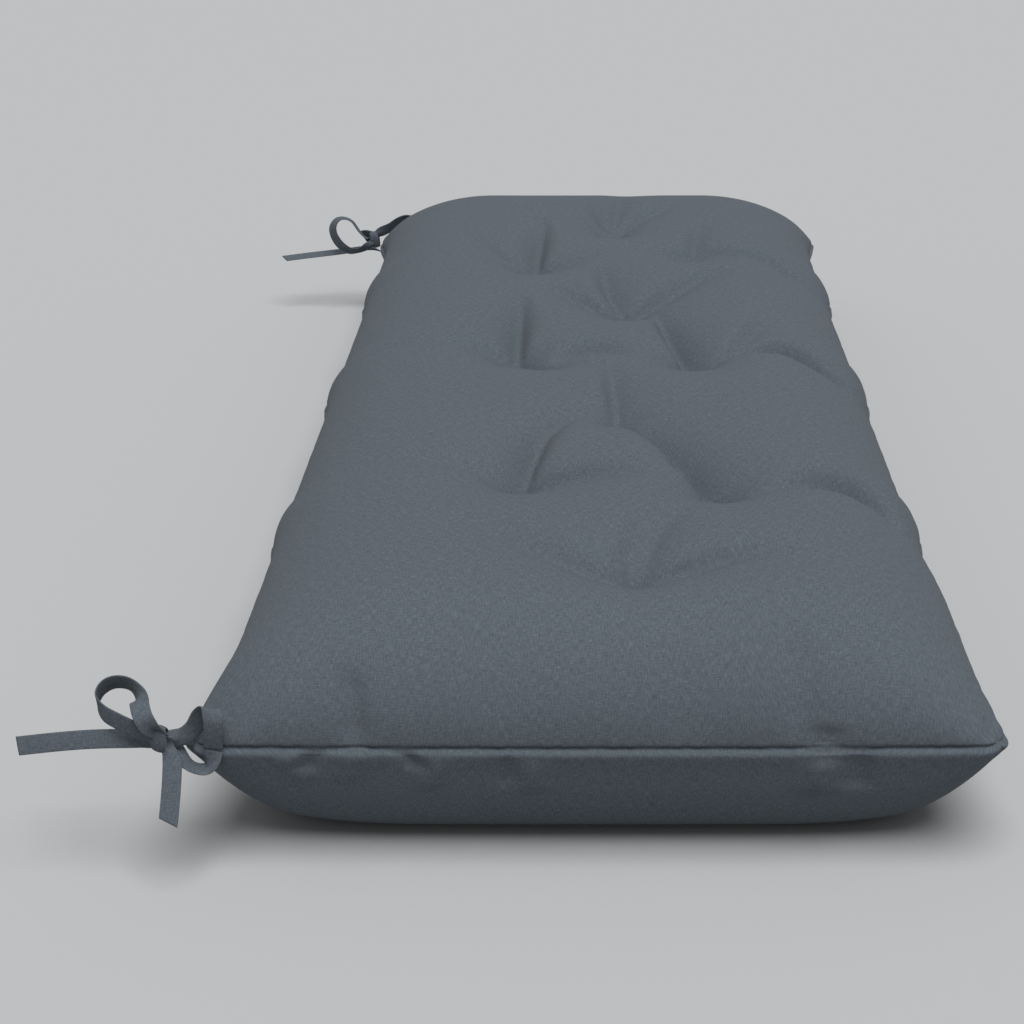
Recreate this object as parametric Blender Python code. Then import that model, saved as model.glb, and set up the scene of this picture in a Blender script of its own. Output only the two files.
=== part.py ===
"""Tufted bench cushion with a tie at each back corner.

Frame: X runs along the cushion's length, +Y to its back edge, where the ties are, +Z up.
The origin is on the surface that it lies on, under the middle of the cushion. Metres.
"""

import math
from typing import NamedTuple

import bpy
import numpy as np

# Driving dimensions
LENGTH = 1.200              # seam to seam, end to end
WIDTH = 0.500               # seam to seam, front to back
SEAM_HEIGHT = 0.079         # the seam that joins the two panels, above the surface
CROWN = 0.0735              # the top panel's rise above the seam
TOP_ROLL_X = 0.105          # how far in from an end the top reaches its full height
TOP_ROLL_Y = 0.130          # the same from the front or back edge
UNDER_ROLL = 0.058          # how far in from the seam the underside reaches the surface
UNDER_POWER = 2.2           # bluntness of the underside's edge, 2 is an ellipse
CORNER_LIFT = 0.11          # how far in from a corner the underside reaches the surface
CORNER_THIN = 0.06          # the same for the top panel
CORNER_RADIUS = 0.020       # of the outline
EAR_SHIFT = 0.055           # from a pair's row to where the sides reach their full width
SIDE_DRAW_IN = 0.006        # how far the filling draws a long side in between the channels
END_DRAW_IN = 0.002         # the same at the middle of an end

# Tufts: single ones on the centre line and pairs between them, in turn
TUFT_SPACING = 0.150        # from one row to the next
TUFT_SHIFT = -0.038         # of the middle row, towards the -X end
TUFT_ROWS = 7               # rows 0, 2, 4 and 6 hold one tuft, rows 1, 3 and 5 a pair
TUFT_CENTRE = -0.014        # the tufted line runs a little in front of the middle
PAIR_REACH = 0.075          # a paired tuft, either side of that line
TUFT_DRAW = 0.40            # share of the height that a tuft's thread draws in
TUFT_REACH = 0.036          # how fast its hollow fades
CHANNEL_DRAW = 0.25         # share drawn in along the channel from a pair to the long edges
VALLEY_DRAW = 0.24          # share drawn in along the valley from tuft to tuft
CHANNEL_WIDTH = 0.024       # how fast both fade sideways
BLEND = 4.0                 # sharpness with which hollows that meet are merged
UNDER_TUFT_DEPTH = 0.016    # hollow of a tuft in the underside
UNDER_TUFT_RADIUS = 0.042

GRID_X = 62                 # cells along the length and across the width
GRID_Y = 26
GRID_CROWDING = 0.35        # how much finer the cells are near the seam

# Ties
TAPE_WIDTH = 0.0120
TAPE_THICKNESS = 0.0012
TAPE_STEP = 0.0036          # between cross sections
KNOT_SIZE = (0.0050, 0.0056, 0.0098)   # half its depth, width and height
KNOT_SIDES = 14
KNOT_RINGS = 8
KNOT_POWER = 2.6            # bluntness of the knot's section

COTTON_GREY = (0.110, 0.132, 0.150, 1.0)


class Stop(NamedTuple):
    """A point on a tape's middle line and the way its width runs there.

    inward is measured from the cushion's end towards its middle, out from its back edge to
    the outside and up from the seam, all in millimetres. The three face values are the same
    directions for the tape's width.
    """

    inward: float
    out: float
    up: float
    face_in: float
    face_out: float
    face_up: float


# The tie at the -X end: its upper half crosses the corner's top, makes the knot and the
# ear, and hangs down; its lower half passes under the corner and lies out sideways.
NEAR_OVER = (
    Stop(-2.6, -14.2, 1.2, 0.0, 1.0, 0.0),
    Stop(-4.4, -15.2, 12.0, 0.0, 1.0, 0.0),
    Stop(-4.2, -15.8, 21.5, -0.05, 1.0, 0.05),
    Stop(0.5, -13.4, 26.8, -0.2, 0.9, 0.3),
    Stop(4.6, -7.2, 21.0, -0.2, 0.76, 0.62),
    Stop(5.2, -1.6, 11.4, -0.15, 0.72, 0.68),
    Stop(2.8, 5.0, 6.6, -0.1, 0.62, 0.76),
    Stop(0.0, 11.5, 6.8, 0.0, 0.35, 0.93),
    Stop(-2.4, 16.8, 8.2, 0.0, 0.2, 1.0),
)
NEAR_EAR = (
    Stop(-0.8, 18.7, 5.9, -0.1, -0.3, 0.93),
    Stop(-3.2, 25.4, 10.9, -0.1, -0.35, 0.92),
    Stop(-5.0, 33.0, 16.3, -0.1, -0.35, 0.93),
    Stop(-4.5, 42.5, 21.6, -0.1, -0.3, 0.95),
    Stop(0.5, 51.4, 24.4, -0.15, -0.2, 0.95),
    Stop(7.5, 56.6, 29.4, -0.3, 0.0, 0.95),
    Stop(14.0, 54.6, 34.0, -0.33, 0.0, 0.94),
    Stop(18.0, 47.9, 36.3, -0.36, 0.0, 0.92),
    Stop(17.5, 38.5, 35.3, -0.3, -0.05, 0.94),
    Stop(9.5, 31.0, 32.4, -0.1, -0.45, 0.85),
    Stop(0.0, 29.0, 30.4, 0.3, -0.9, 0.05),
    Stop(-9.5, 25.2, 27.0, 0.3, -0.87, 0.4),
    Stop(-10.0, 21.6, 20.0, 0.25, -0.85, 0.5),
    Stop(-5.5, 17.8, 13.6, 0.1, -0.8, 0.6),
)
NEAR_DROP = (
    Stop(-4.5, 14.0, 3.8, 0.0, 1.0, 0.1),
    Stop(-9.8, 10.2, -2.6, 0.0, 1.0, 0.1),
    Stop(-16.5, 9.4, -10.5, 0.0, 1.0, 0.0),
    Stop(-25.0, 9.6, -22.0, 0.0, 1.0, 0.0),
    Stop(-33.0, 10.3, -33.2, 0.0, 1.0, 0.0),
)
NEAR_UNDER = (
    Stop(-2.6, -14.2, -0.2, 0.0, 1.0, 0.0),
    Stop(-4.4, -12.6, -7.0, 0.45, 0.9, 0.1),
    Stop(-5.0, -8.6, -11.6, 0.93, 0.35, 0.1),
    Stop(-4.2, -1.4, -11.2, 0.95, 0.05, 0.05),
    Stop(-2.2, 5.0, -7.2, 0.9, -0.2, 0.1),
    Stop(2.4, 11.0, -2.6, 0.8, -0.4, 0.4),
    Stop(6.8, 18.6, 1.2, 0.4, -0.25, 0.9),
    Stop(5.6, 27.9, 3.6, 0.35, -0.05, 0.92),
    Stop(1.8, 37.3, 5.8, 0.42, 0.0, 0.9),
    Stop(-1.5, 60.0, 7.1, 0.45, 0.0, 0.89),
    Stop(-2.0, 82.0, 5.5, 0.45, 0.0, 0.89),
    Stop(-2.0, 106.0, 2.6, 0.45, 0.0, 0.89),
)

# The tie at the +X end, tied in the same way with its ear standing up.
FAR_OVER = (
    Stop(-2.6, -33.0, 1.2, 0.0, -1.0, 0.0),
    Stop(-4.6, -33.5, 12.0, 0.0, -1.0, 0.05),
    Stop(-3.8, -32.6, 19.5, 0.15, -0.85, 0.4),
    Stop(-1.0, -29.0, 24.8, 0.3, -0.6, 0.7),
    Stop(2.5, -22.5, 26.4, 0.35, -0.2, 0.9),
    Stop(5.0, -15.0, 23.6, 0.4, 0.3, 0.85),
    Stop(5.0, -6.5, 17.6, 0.35, 0.5, 0.75),
    Stop(2.4, 4.5, 11.5, 0.1, 0.5, 0.85),
    Stop(0.0, 13.2, 5.4, 0.0, 0.3, 0.95),
)
FAR_EAR = (
    Stop(3.4, 15.4, -2.2, 0.2, -0.1, 1.0),
    Stop(5.8, 25.0, -7.2, 0.4, -0.2, 0.9),
    Stop(8.5, 34.0, -10.5, 0.6, -0.3, 0.6),
    Stop(9.5, 44.4, -9.8, 0.5, -0.55, 0.65),
    Stop(8.5, 54.4, -3.2, 0.4, -0.75, 0.5),
    Stop(6.5, 61.2, 7.0, 0.5, -0.8, 0.2),
    Stop(4.5, 62.6, 16.9, 0.65, -0.75, 0.0),
    Stop(2.5, 58.0, 24.7, 0.85, -0.35, -0.2),
    Stop(0.5, 50.0, 27.0, 0.97, 0.0, 0.0),
    Stop(-1.0, 40.4, 22.6, 0.97, 0.1, 0.2),
    Stop(-1.5, 31.6, 9.6, 0.97, 0.1, 0.26),
    Stop(-1.2, 23.8, 1.6, 0.8, 0.2, 0.6),
    Stop(-1.6, 16.6, 1.6, 0.3, 0.1, 0.95),
)
FAR_DROP = (
    Stop(-2.2, 14.6, 4.4, 0.6, -0.1, 0.75),
    Stop(-7.5, 21.0, 5.2, 0.4, 0.3, 0.8),
    Stop(-12.5, 26.0, 3.8, 0.15, 0.4, 0.9),
    Stop(-15.0, 29.0, 2.5, 0.15, 0.4, 0.9),
)
FAR_UNDER = (
    Stop(-2.6, -33.0, -0.2, 0.0, 1.0, 0.0),
    Stop(-4.8, -31.5, -9.0, 0.15, 1.0, 0.1),
    Stop(-5.8, -22.5, -17.5, 0.45, 0.8, 0.4),
    Stop(-6.5, -9.5, -20.5, 0.75, 0.3, 0.45),
    Stop(-8.0, 3.0, -17.8, 0.88, -0.1, 0.3),
    Stop(-8.5, 13.0, -14.0, 0.93, -0.1, 0.1),
    Stop(-8.6, 20.5, -12.0, 0.95, 0.0, -0.1),
    Stop(-7.6, 31.0, -12.2, 0.95, 0.0, -0.2),
    Stop(-5.5, 44.3, -13.8, 0.95, 0.0, -0.28),
    Stop(-3.0, 64.7, -15.8, 0.95, 0.0, -0.32),
    Stop(-1.0, 93.4, -18.7, 0.95, 0.0, -0.33),
    Stop(2.0, 122.6, -21.8, 0.95, 0.0, -0.33),
)
NEAR_KNOT_PLACE = Stop(-2.5, 18.0, 8.0, 0.0, 0.0, 1.0)
FAR_KNOT_PLACE = Stop(0.0, 14.0, 1.0, 0.0, 0.0, 1.0)


def clear_scene():
    """Remove what the file starts with."""
    for thing in list(bpy.data.objects):
        bpy.data.objects.remove(thing, do_unlink=True)


def cloth_material(name, colour, roughness):
    """A matt cloth material."""
    material = bpy.data.materials.new(name)
    material.use_nodes = True
    shader = material.node_tree.nodes["Principled BSDF"]
    shader.inputs["Base Color"].default_value = colour
    shader.inputs["Roughness"].default_value = roughness
    shader.inputs["Metallic"].default_value = 0.0
    return material


def add_object(name, vertices, faces, material):
    """Make an object of that name from its points and faces."""
    mesh = bpy.data.meshes.new(name)
    mesh.from_pydata([tuple(map(float, point)) for point in vertices], [], faces)
    mesh.materials.append(material)
    mesh.update()
    thing = bpy.data.objects.new(name, mesh)
    bpy.context.scene.collection.objects.link(thing)
    return thing


def tuft_places():
    """The tufts as rows of (x, y): one row holds a single tuft, the next a pair."""
    rows = []
    for row in range(TUFT_ROWS):
        x = TUFT_SHIFT + (row - (TUFT_ROWS - 1) / 2) * TUFT_SPACING
        reaches = (-PAIR_REACH, PAIR_REACH) if row % 2 else (0.0,)
        rows.append([(x, TUFT_CENTRE + reach) for reach in reaches])
    return rows


def distance_to_line(x, y, start, end):
    """Distance from each (x, y) to the straight line between two points."""
    ax, ay = start
    dx, dy = end[0] - ax, end[1] - ay
    along = np.clip(((x - ax) * dx + (y - ay) * dy) / (dx * dx + dy * dy), 0.0, 1.0)
    return np.hypot(x - ax - along * dx, y - ay - along * dy)


def drawn_in(x, y):
    """Share of the top's height that tufts and channels draw in, 0 to 1.

    Each hollow fades as exp(-distance / reach), which leaves a crease between round
    mounds. Hollows that meet are merged by a power mean, so they don't add up.
    """
    rows = tuft_places()
    hollows = []
    for row, tufts in enumerate(rows):
        for tuft in tufts:
            hollows.append(TUFT_DRAW * np.exp(-np.hypot(x - tuft[0], y - tuft[1]) / TUFT_REACH))
        if len(tufts) == 1:
            continue
        for tuft, side in zip(tufts, (-1, 1)):
            edge = (tuft[0], side * WIDTH / 2)
            away = distance_to_line(x, y, tuft, edge)
            hollows.append(CHANNEL_DRAW * np.exp(-away / CHANNEL_WIDTH))
            for single in rows[row - 1] + rows[row + 1]:
                away = distance_to_line(x, y, tuft, single)
                hollows.append(VALLEY_DRAW * np.exp(-away / CHANNEL_WIDTH))
    return sum(hollow**BLEND for hollow in hollows) ** (1.0 / BLEND)


def roll(depth, reach, power=2.0):
    """Rise of a panel from 0 at the seam to 1 at reach, as a quarter of a superellipse."""
    return (1.0 - (1.0 - np.clip(depth / reach, 0.0, 1.0)) ** power) ** (1.0 / power)


def crowd(steps):
    """Grid lines from -1 to 1, closer together towards both ends."""
    line = np.linspace(-1.0, 1.0, steps + 1)
    return line * (1.0 + GRID_CROWDING) - GRID_CROWDING * line**3


def cushion_outline(across_x, across_y):
    """Plan places of grid values -1 to 1: rounded corners, and sides drawn in between channels."""
    x = across_x * (LENGTH / 2 - END_DRAW_IN * (1.0 - across_y**2))
    flat_x = across_x * LENGTH / 2
    relaxed = np.clip(1.0 - (LENGTH / 2 - np.abs(flat_x)) / 0.10, 0.0, 1.0)
    for row, tufts in enumerate(tuft_places()):
        if len(tufts) == 2:
            relaxed = np.maximum(relaxed, np.exp(-(((flat_x - tufts[0][0] - EAR_SHIFT) / 0.045) ** 2)))
    y = across_y * (WIDTH / 2 - SIDE_DRAW_IN * (1.0 - relaxed))
    past_x = np.abs(flat_x) - (LENGTH / 2 - CORNER_RADIUS)
    past_y = np.abs(across_y) * WIDTH / 2 - (WIDTH / 2 - CORNER_RADIUS)
    in_corner = (past_x > 0) & (past_y > 0)
    reach = np.maximum(np.hypot(past_x, past_y), 1e-9)
    scale = np.where(in_corner, np.maximum(past_x, past_y) / reach, 1.0)
    x -= np.where(in_corner, np.sign(x) * past_x * (1.0 - scale), 0.0)
    y -= np.where(in_corner, np.sign(y) * past_y * (1.0 - scale), 0.0)
    return x, y


def make_cushion(material):
    """The filled cushion: a tufted top panel and a flat-lying underside that share one seam."""
    across_x, across_y = np.meshgrid(crowd(GRID_X), crowd(GRID_Y), indexing="ij")
    x, y = cushion_outline(across_x, across_y)
    in_x = (1.0 - np.abs(across_x)) * LENGTH / 2
    in_y = (1.0 - np.abs(across_y)) * WIDTH / 2
    in_corner = np.hypot(in_x, in_y)

    rise = roll(in_x, TOP_ROLL_X) * roll(in_y, TOP_ROLL_Y) * roll(in_corner, CORNER_THIN)
    top = SEAM_HEIGHT + CROWN * rise * (1.0 - drawn_in(x, y))
    drop = roll(in_x, UNDER_ROLL, UNDER_POWER) * roll(in_y, UNDER_ROLL, UNDER_POWER)
    drop *= roll(in_corner, CORNER_LIFT)
    under = SEAM_HEIGHT * (1.0 - drop)
    for tuft in (place for row in tuft_places() for place in row):
        near = np.hypot(x - tuft[0], y - tuft[1]) / UNDER_TUFT_RADIUS
        under += UNDER_TUFT_DEPTH * np.clip(1.0 - near**2, 0.0, 1.0) ** 2

    numbers = np.arange(x.size).reshape(x.shape)
    inner = np.zeros(x.shape, bool)
    inner[1:-1, 1:-1] = True
    under_numbers = numbers.copy()
    under_numbers[inner] = x.size + np.arange(inner.sum())
    points = np.vstack([
        np.stack([x, y, top], -1).reshape(-1, 3),
        np.stack([x, y, under], -1)[inner],
    ])
    return add_object("cushion", points, panel_faces(numbers) + panel_faces(under_numbers, True), material)


def panel_faces(numbers, facing_down=False):
    """Four-sided faces over a grid of point numbers."""
    corners = np.stack([numbers[:-1, :-1], numbers[1:, :-1], numbers[1:, 1:], numbers[:-1, 1:]], -1)
    faces = corners.reshape(-1, 4)
    return (faces[:, ::-1] if facing_down else faces).tolist()


def smooth_route(stops, end):
    """A route's middle line and width directions in world places, a step apart.

    end is -1 or 1 for the cushion's end. The curve is a Catmull-Rom spline through the
    stops, and the width is kept square to it.
    """
    table = np.array(stops)
    before = 2 * table[0] - table[1]
    after = 2 * table[-1] - table[-2]
    knots = np.vstack([before, table, after])
    rows = []
    for a, b, c, d in zip(knots, knots[1:], knots[2:], knots[3:]):
        steps = max(1, round(np.linalg.norm((c - b)[:3]) / 1000 / TAPE_STEP))
        t = (np.arange(steps) / steps)[:, None]
        bend = (2 * a - 5 * b + 4 * c - d) * t**2 + (3 * b - a - 3 * c + d) * t**3
        rows.append(0.5 * (2 * b + (c - a) * t + bend))
    rows = np.vstack(rows + [table[-1:]])
    away = np.array((-end, 1.0, 1.0))
    line = rows[:, :3] / 1000 * away + np.array((end * LENGTH / 2, WIDTH / 2, SEAM_HEIGHT))
    width = rows[:, 3:] * away
    tangent = np.gradient(line, axis=0)
    tangent /= np.linalg.norm(tangent, axis=1)[:, None]
    width -= tangent * (width * tangent).sum(1)[:, None]
    width /= np.linalg.norm(width, axis=1)[:, None]
    return line, width, np.cross(tangent, width)


def make_tape(name, stops, end, material):
    """A flat tape along a route, as one closed box section."""
    line, width, normal = smooth_route(stops, end)
    half_width, half_thickness = TAPE_WIDTH / 2, TAPE_THICKNESS / 2
    corners = [(-1, -1), (1, -1), (1, 1), (-1, 1)]
    points = np.stack([
        line + side * half_width * width + face * half_thickness * normal for side, face in corners
    ], 1).reshape(-1, 3)
    faces = [(3, 2, 1, 0), tuple(len(points) - 4 + corner for corner in range(4))]
    for section in range(len(line) - 1):
        for corner in range(4):
            here, there = 4 * section + corner, 4 * section + (corner + 1) % 4
            if corner < 2:
                faces += [(here, there, there + 4), (here, there + 4, here + 4)]
            else:
                faces += [(here, there, here + 4), (there, there + 4, here + 4)]
    return add_object(name, points, faces, material)


def make_knot(name, place, end, material):
    """The knot's wrapped lump: a blunt ellipsoid with its poles along the back edge."""
    depth, width, height = KNOT_SIZE
    points = [(0.0, -width, 0.0)]
    for ring in range(1, KNOT_RINGS):
        tilt = math.pi * ring / KNOT_RINGS
        size = math.sin(tilt) ** (2 / KNOT_POWER)
        for side in range(KNOT_SIDES):
            turn = 2 * math.pi * side / KNOT_SIDES
            points.append((depth * size * math.cos(turn), -width * math.cos(tilt), height * size * math.sin(turn)))
    points.append((0.0, width, 0.0))
    last = len(points) - 1
    faces = []
    for side in range(KNOT_SIDES):
        other = (side + 1) % KNOT_SIDES
        faces.append((0, 1 + side, 1 + other))
        faces.append((last, last - KNOT_SIDES + other, last - KNOT_SIDES + side))
        for ring in range(KNOT_RINGS - 2):
            here = 1 + ring * KNOT_SIDES
            faces.append((here + side, here + KNOT_SIDES + side, here + KNOT_SIDES + other, here + other))
    middle = np.array((end * (LENGTH / 2 - place.inward / 1000), WIDTH / 2 + place.out / 1000,
                       SEAM_HEIGHT + place.up / 1000))
    return add_object(name, np.array(points) + middle, faces, material)


def join_by_union(thing, others):
    """Make one closed body of a piece and those it is tied to."""
    for other in others:
        union = thing.modifiers.new(other.name, "BOOLEAN")
        union.operation = "UNION"
        union.solver = "EXACT"
        union.object = other
        other.hide_render = True
        other.display_type = "WIRE"


def make_tie(place, end, over, ear, drop, under, knot_place, material):
    """One tie: the half with knot, ear and hanging end, and the half that lies out sideways."""
    half = make_tape(f"tie_{place}_bow", over, end, material)
    parts = [
        make_tape(f"guide_{place}_ear", ear, end, material),
        make_tape(f"guide_{place}_drop", drop, end, material),
        make_knot(f"guide_{place}_knot", knot_place, end, material),
    ]
    join_by_union(half, parts)
    make_tape(f"tie_{place}_tail", under, end, material)


def main():
    """Build the cushion and its two ties."""
    clear_scene()
    make_cushion(cloth_material("cushion_canvas", COTTON_GREY, 0.92))
    tape = cloth_material("tie_canvas", COTTON_GREY, 0.92)
    make_tie("near", -1, NEAR_OVER, NEAR_EAR, NEAR_DROP, NEAR_UNDER, NEAR_KNOT_PLACE, tape)
    make_tie("far", 1, FAR_OVER, FAR_EAR, FAR_DROP, FAR_UNDER, FAR_KNOT_PLACE, tape)


main()
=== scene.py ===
"""Looks of a tufted bench cushion with a cloth tie at each back corner.

Frame: X runs along the cushion, +Y to its back edge, where the ties are, +Z up. The
origin is on the surface that the cushion lies on, under its middle. Metres.
"""

from __future__ import annotations

import logging
import math
from collections.abc import Sequence
from dataclasses import dataclass
from enum import Enum
from typing import Any, NamedTuple

import bpy
import numpy as np
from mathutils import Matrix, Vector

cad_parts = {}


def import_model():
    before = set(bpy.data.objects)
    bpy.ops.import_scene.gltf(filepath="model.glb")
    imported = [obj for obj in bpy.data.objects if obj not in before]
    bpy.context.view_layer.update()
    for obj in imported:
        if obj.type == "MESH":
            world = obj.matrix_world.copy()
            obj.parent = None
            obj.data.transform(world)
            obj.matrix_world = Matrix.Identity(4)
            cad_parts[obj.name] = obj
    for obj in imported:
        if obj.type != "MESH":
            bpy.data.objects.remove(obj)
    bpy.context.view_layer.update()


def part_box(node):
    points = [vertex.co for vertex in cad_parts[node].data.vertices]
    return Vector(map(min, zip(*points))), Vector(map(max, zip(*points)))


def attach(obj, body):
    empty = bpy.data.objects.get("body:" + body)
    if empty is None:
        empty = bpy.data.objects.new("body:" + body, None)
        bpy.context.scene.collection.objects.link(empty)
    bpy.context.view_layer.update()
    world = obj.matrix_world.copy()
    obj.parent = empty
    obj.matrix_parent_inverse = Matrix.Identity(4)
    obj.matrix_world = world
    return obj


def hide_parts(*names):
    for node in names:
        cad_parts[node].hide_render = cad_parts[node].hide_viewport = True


LOG = logging.getLogger("bench_cushion")
MILLIMETRE = 0.001
SEAM_HEIGHT = 0.079         # above the surface that the cushion lies on
CLOTH_UV = "cloth"          # UV map in metres of cloth, so that a weave follows the surface

Array = np.ndarray
Point = tuple[float, float]


class End(Enum):
    """The cushion's two ends, with the side of the origin that each lies on."""

    NEAR = -1
    FAR = 1


class Panel(Enum):
    """The two cloth panels that the seam joins."""

    TOP = "top"
    UNDER = "under"


# --------------------------------------------------------------------------- helpers


def linear(hex_colour: str) -> tuple[float, float, float, float]:
    """Turn an sRGB hex colour into the linear values that shaders take.

    Args:
        hex_colour: Six hex digits, with or without a leading hash.

    Returns:
        Red, green, blue and an alpha of 1.
    """
    digits = hex_colour.lstrip("#")
    channels = [int(digits[i:i + 2], 16) / 255 for i in (0, 2, 4)]
    return (*[c / 12.92 if c <= 0.04045 else ((c + 0.055) / 1.055) ** 2.4 for c in channels], 1.0)


def add_node(tree: bpy.types.NodeTree, kind: str, settings: dict[str, Any] | None = None,
             inputs: dict[str | int, Any] | None = None) -> bpy.types.Node:
    """Add a node with its settings and links.

    Args:
        tree: The tree that gets the node.
        kind: The node's type name.
        settings: Properties of the node, by name.
        inputs: Its sockets by name or number: a value, or a (node, output) pair to link.

    Returns:
        The new node.
    """
    node = tree.nodes.new(kind)
    for name, value in (settings or {}).items():
        setattr(node, name, value)
    for name, value in (inputs or {}).items():
        if isinstance(value, tuple) and isinstance(value[0], bpy.types.Node):
            tree.links.new(value[0].outputs[value[1]], node.inputs[name])
        else:
            node.inputs[name].default_value = value
    return node


def new_material(name: str) -> tuple[bpy.types.Material, bpy.types.NodeTree, bpy.types.Node]:
    """Make a material that holds a Principled shader.

    Args:
        name: The material's name.

    Returns:
        The material, its node tree and its shader node.
    """
    material = bpy.data.materials.new(name)
    material.use_nodes = True
    tree = material.node_tree
    return material, tree, tree.nodes["Principled BSDF"]


def mesh_object(name: str, points: Array, faces: Array, uv: Array | None = None) -> bpy.types.Object:
    """Put points and four-sided faces into a smooth-shaded object at the origin.

    Args:
        name: The object's name.
        points: Places in metres, one row each.
        faces: Point numbers, four a row.
        uv: Two values for each face corner, in face order, or None.

    Returns:
        The object, linked to the scene.
    """
    mesh = bpy.data.meshes.new(name)
    mesh.vertices.add(len(points))
    mesh.vertices.foreach_set("co", np.ascontiguousarray(points, np.float32).ravel())
    mesh.loops.add(faces.size)
    mesh.loops.foreach_set("vertex_index", np.ascontiguousarray(faces, np.int32).ravel())
    mesh.polygons.add(len(faces))
    mesh.polygons.foreach_set("loop_start", np.arange(0, faces.size, 4, dtype=np.int32))
    mesh.polygons.foreach_set("use_smooth", np.ones(len(faces), bool))
    if uv is not None:
        layer = mesh.uv_layers.new(name=CLOTH_UV)
        layer.data.foreach_set("uv", np.ascontiguousarray(uv, np.float32).ravel())
    mesh.update(calc_edges=True)
    mesh.validate()
    thing = bpy.data.objects.new(name, mesh)
    bpy.context.scene.collection.objects.link(thing)
    return thing


def grid_faces(numbers: Array, facing_down: bool = False) -> Array:
    """Four-sided faces over a grid of point numbers.

    Args:
        numbers: Point numbers, rows along X and columns along Y.
        facing_down: Whether the faces look down rather than up.

    Returns:
        Point numbers, four a row.
    """
    corners = np.stack([numbers[:-1, :-1], numbers[1:, :-1], numbers[1:, 1:], numbers[:-1, 1:]], -1)
    faces = corners.reshape(-1, 4)
    return faces[:, ::-1] if facing_down else faces


def surface_normals(points: Array) -> Array:
    """Unit normals of a grid surface: the cross product of its two directions.

    Args:
        points: Grid of places, rows along X and columns along Y.

    Returns:
        A grid of unit vectors, up on a surface that faces up.
    """
    normals = np.cross(np.gradient(points, axis=0), np.gradient(points, axis=1))
    return normals / np.maximum(np.linalg.norm(normals, axis=-1, keepdims=True), 1e-12)


def superellipse(depth: Array, reach: float, power: float) -> Array:
    """Rise from 0 at an edge to 1 at reach: (1 - (1 - depth / reach)^p)^(1 / p)."""
    return (1.0 - (1.0 - np.clip(depth / reach, 0.0, 1.0)) ** power) ** (1.0 / power)


def spline(stops: Array, counts: Sequence[int]) -> Array:
    """Join stops by a Catmull-Rom spline.

    From stop b to stop c, with a before and d after them, each row is half of
    2b + (c - a)t + (2a - 5b + 4c - d)t^2 + (3b - a - 3c + d)t^3 as t runs from 0 to 1.

    Args:
        stops: A row for each stop.
        counts: How many rows each stretch between two stops gets.

    Returns:
        The rows of every stretch, and the last stop.
    """
    knots = np.vstack([2 * stops[0] - stops[1], stops, 2 * stops[-1] - stops[-2]])
    rows = []
    for count, a, b, c, d in zip(counts, knots, knots[1:], knots[2:], knots[3:]):
        t = (np.arange(count) / count)[:, None]
        bend = (2 * a - 5 * b + 4 * c - d) * t**2 + (3 * b - a - 3 * c + d) * t**3
        rows.append(0.5 * (2 * b + (c - a) * t + bend))
    return np.vstack([*rows, stops[-1:]])


def smooth_step(value: Array | float) -> Array:
    """Rise from 0 to 1 as value does, level at both ends: 3v^2 - 2v^3."""
    v = np.clip(value, 0.0, 1.0)
    return v * v * (3.0 - 2.0 * v)


def bell(distance: Array, reach: float) -> Array:
    """Fade of exp(-(distance / reach)^2): 1 at the middle, round on top."""
    return np.exp(-((distance / reach) ** 2))


# --------------------------------------------------------------------------- finishes


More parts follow.
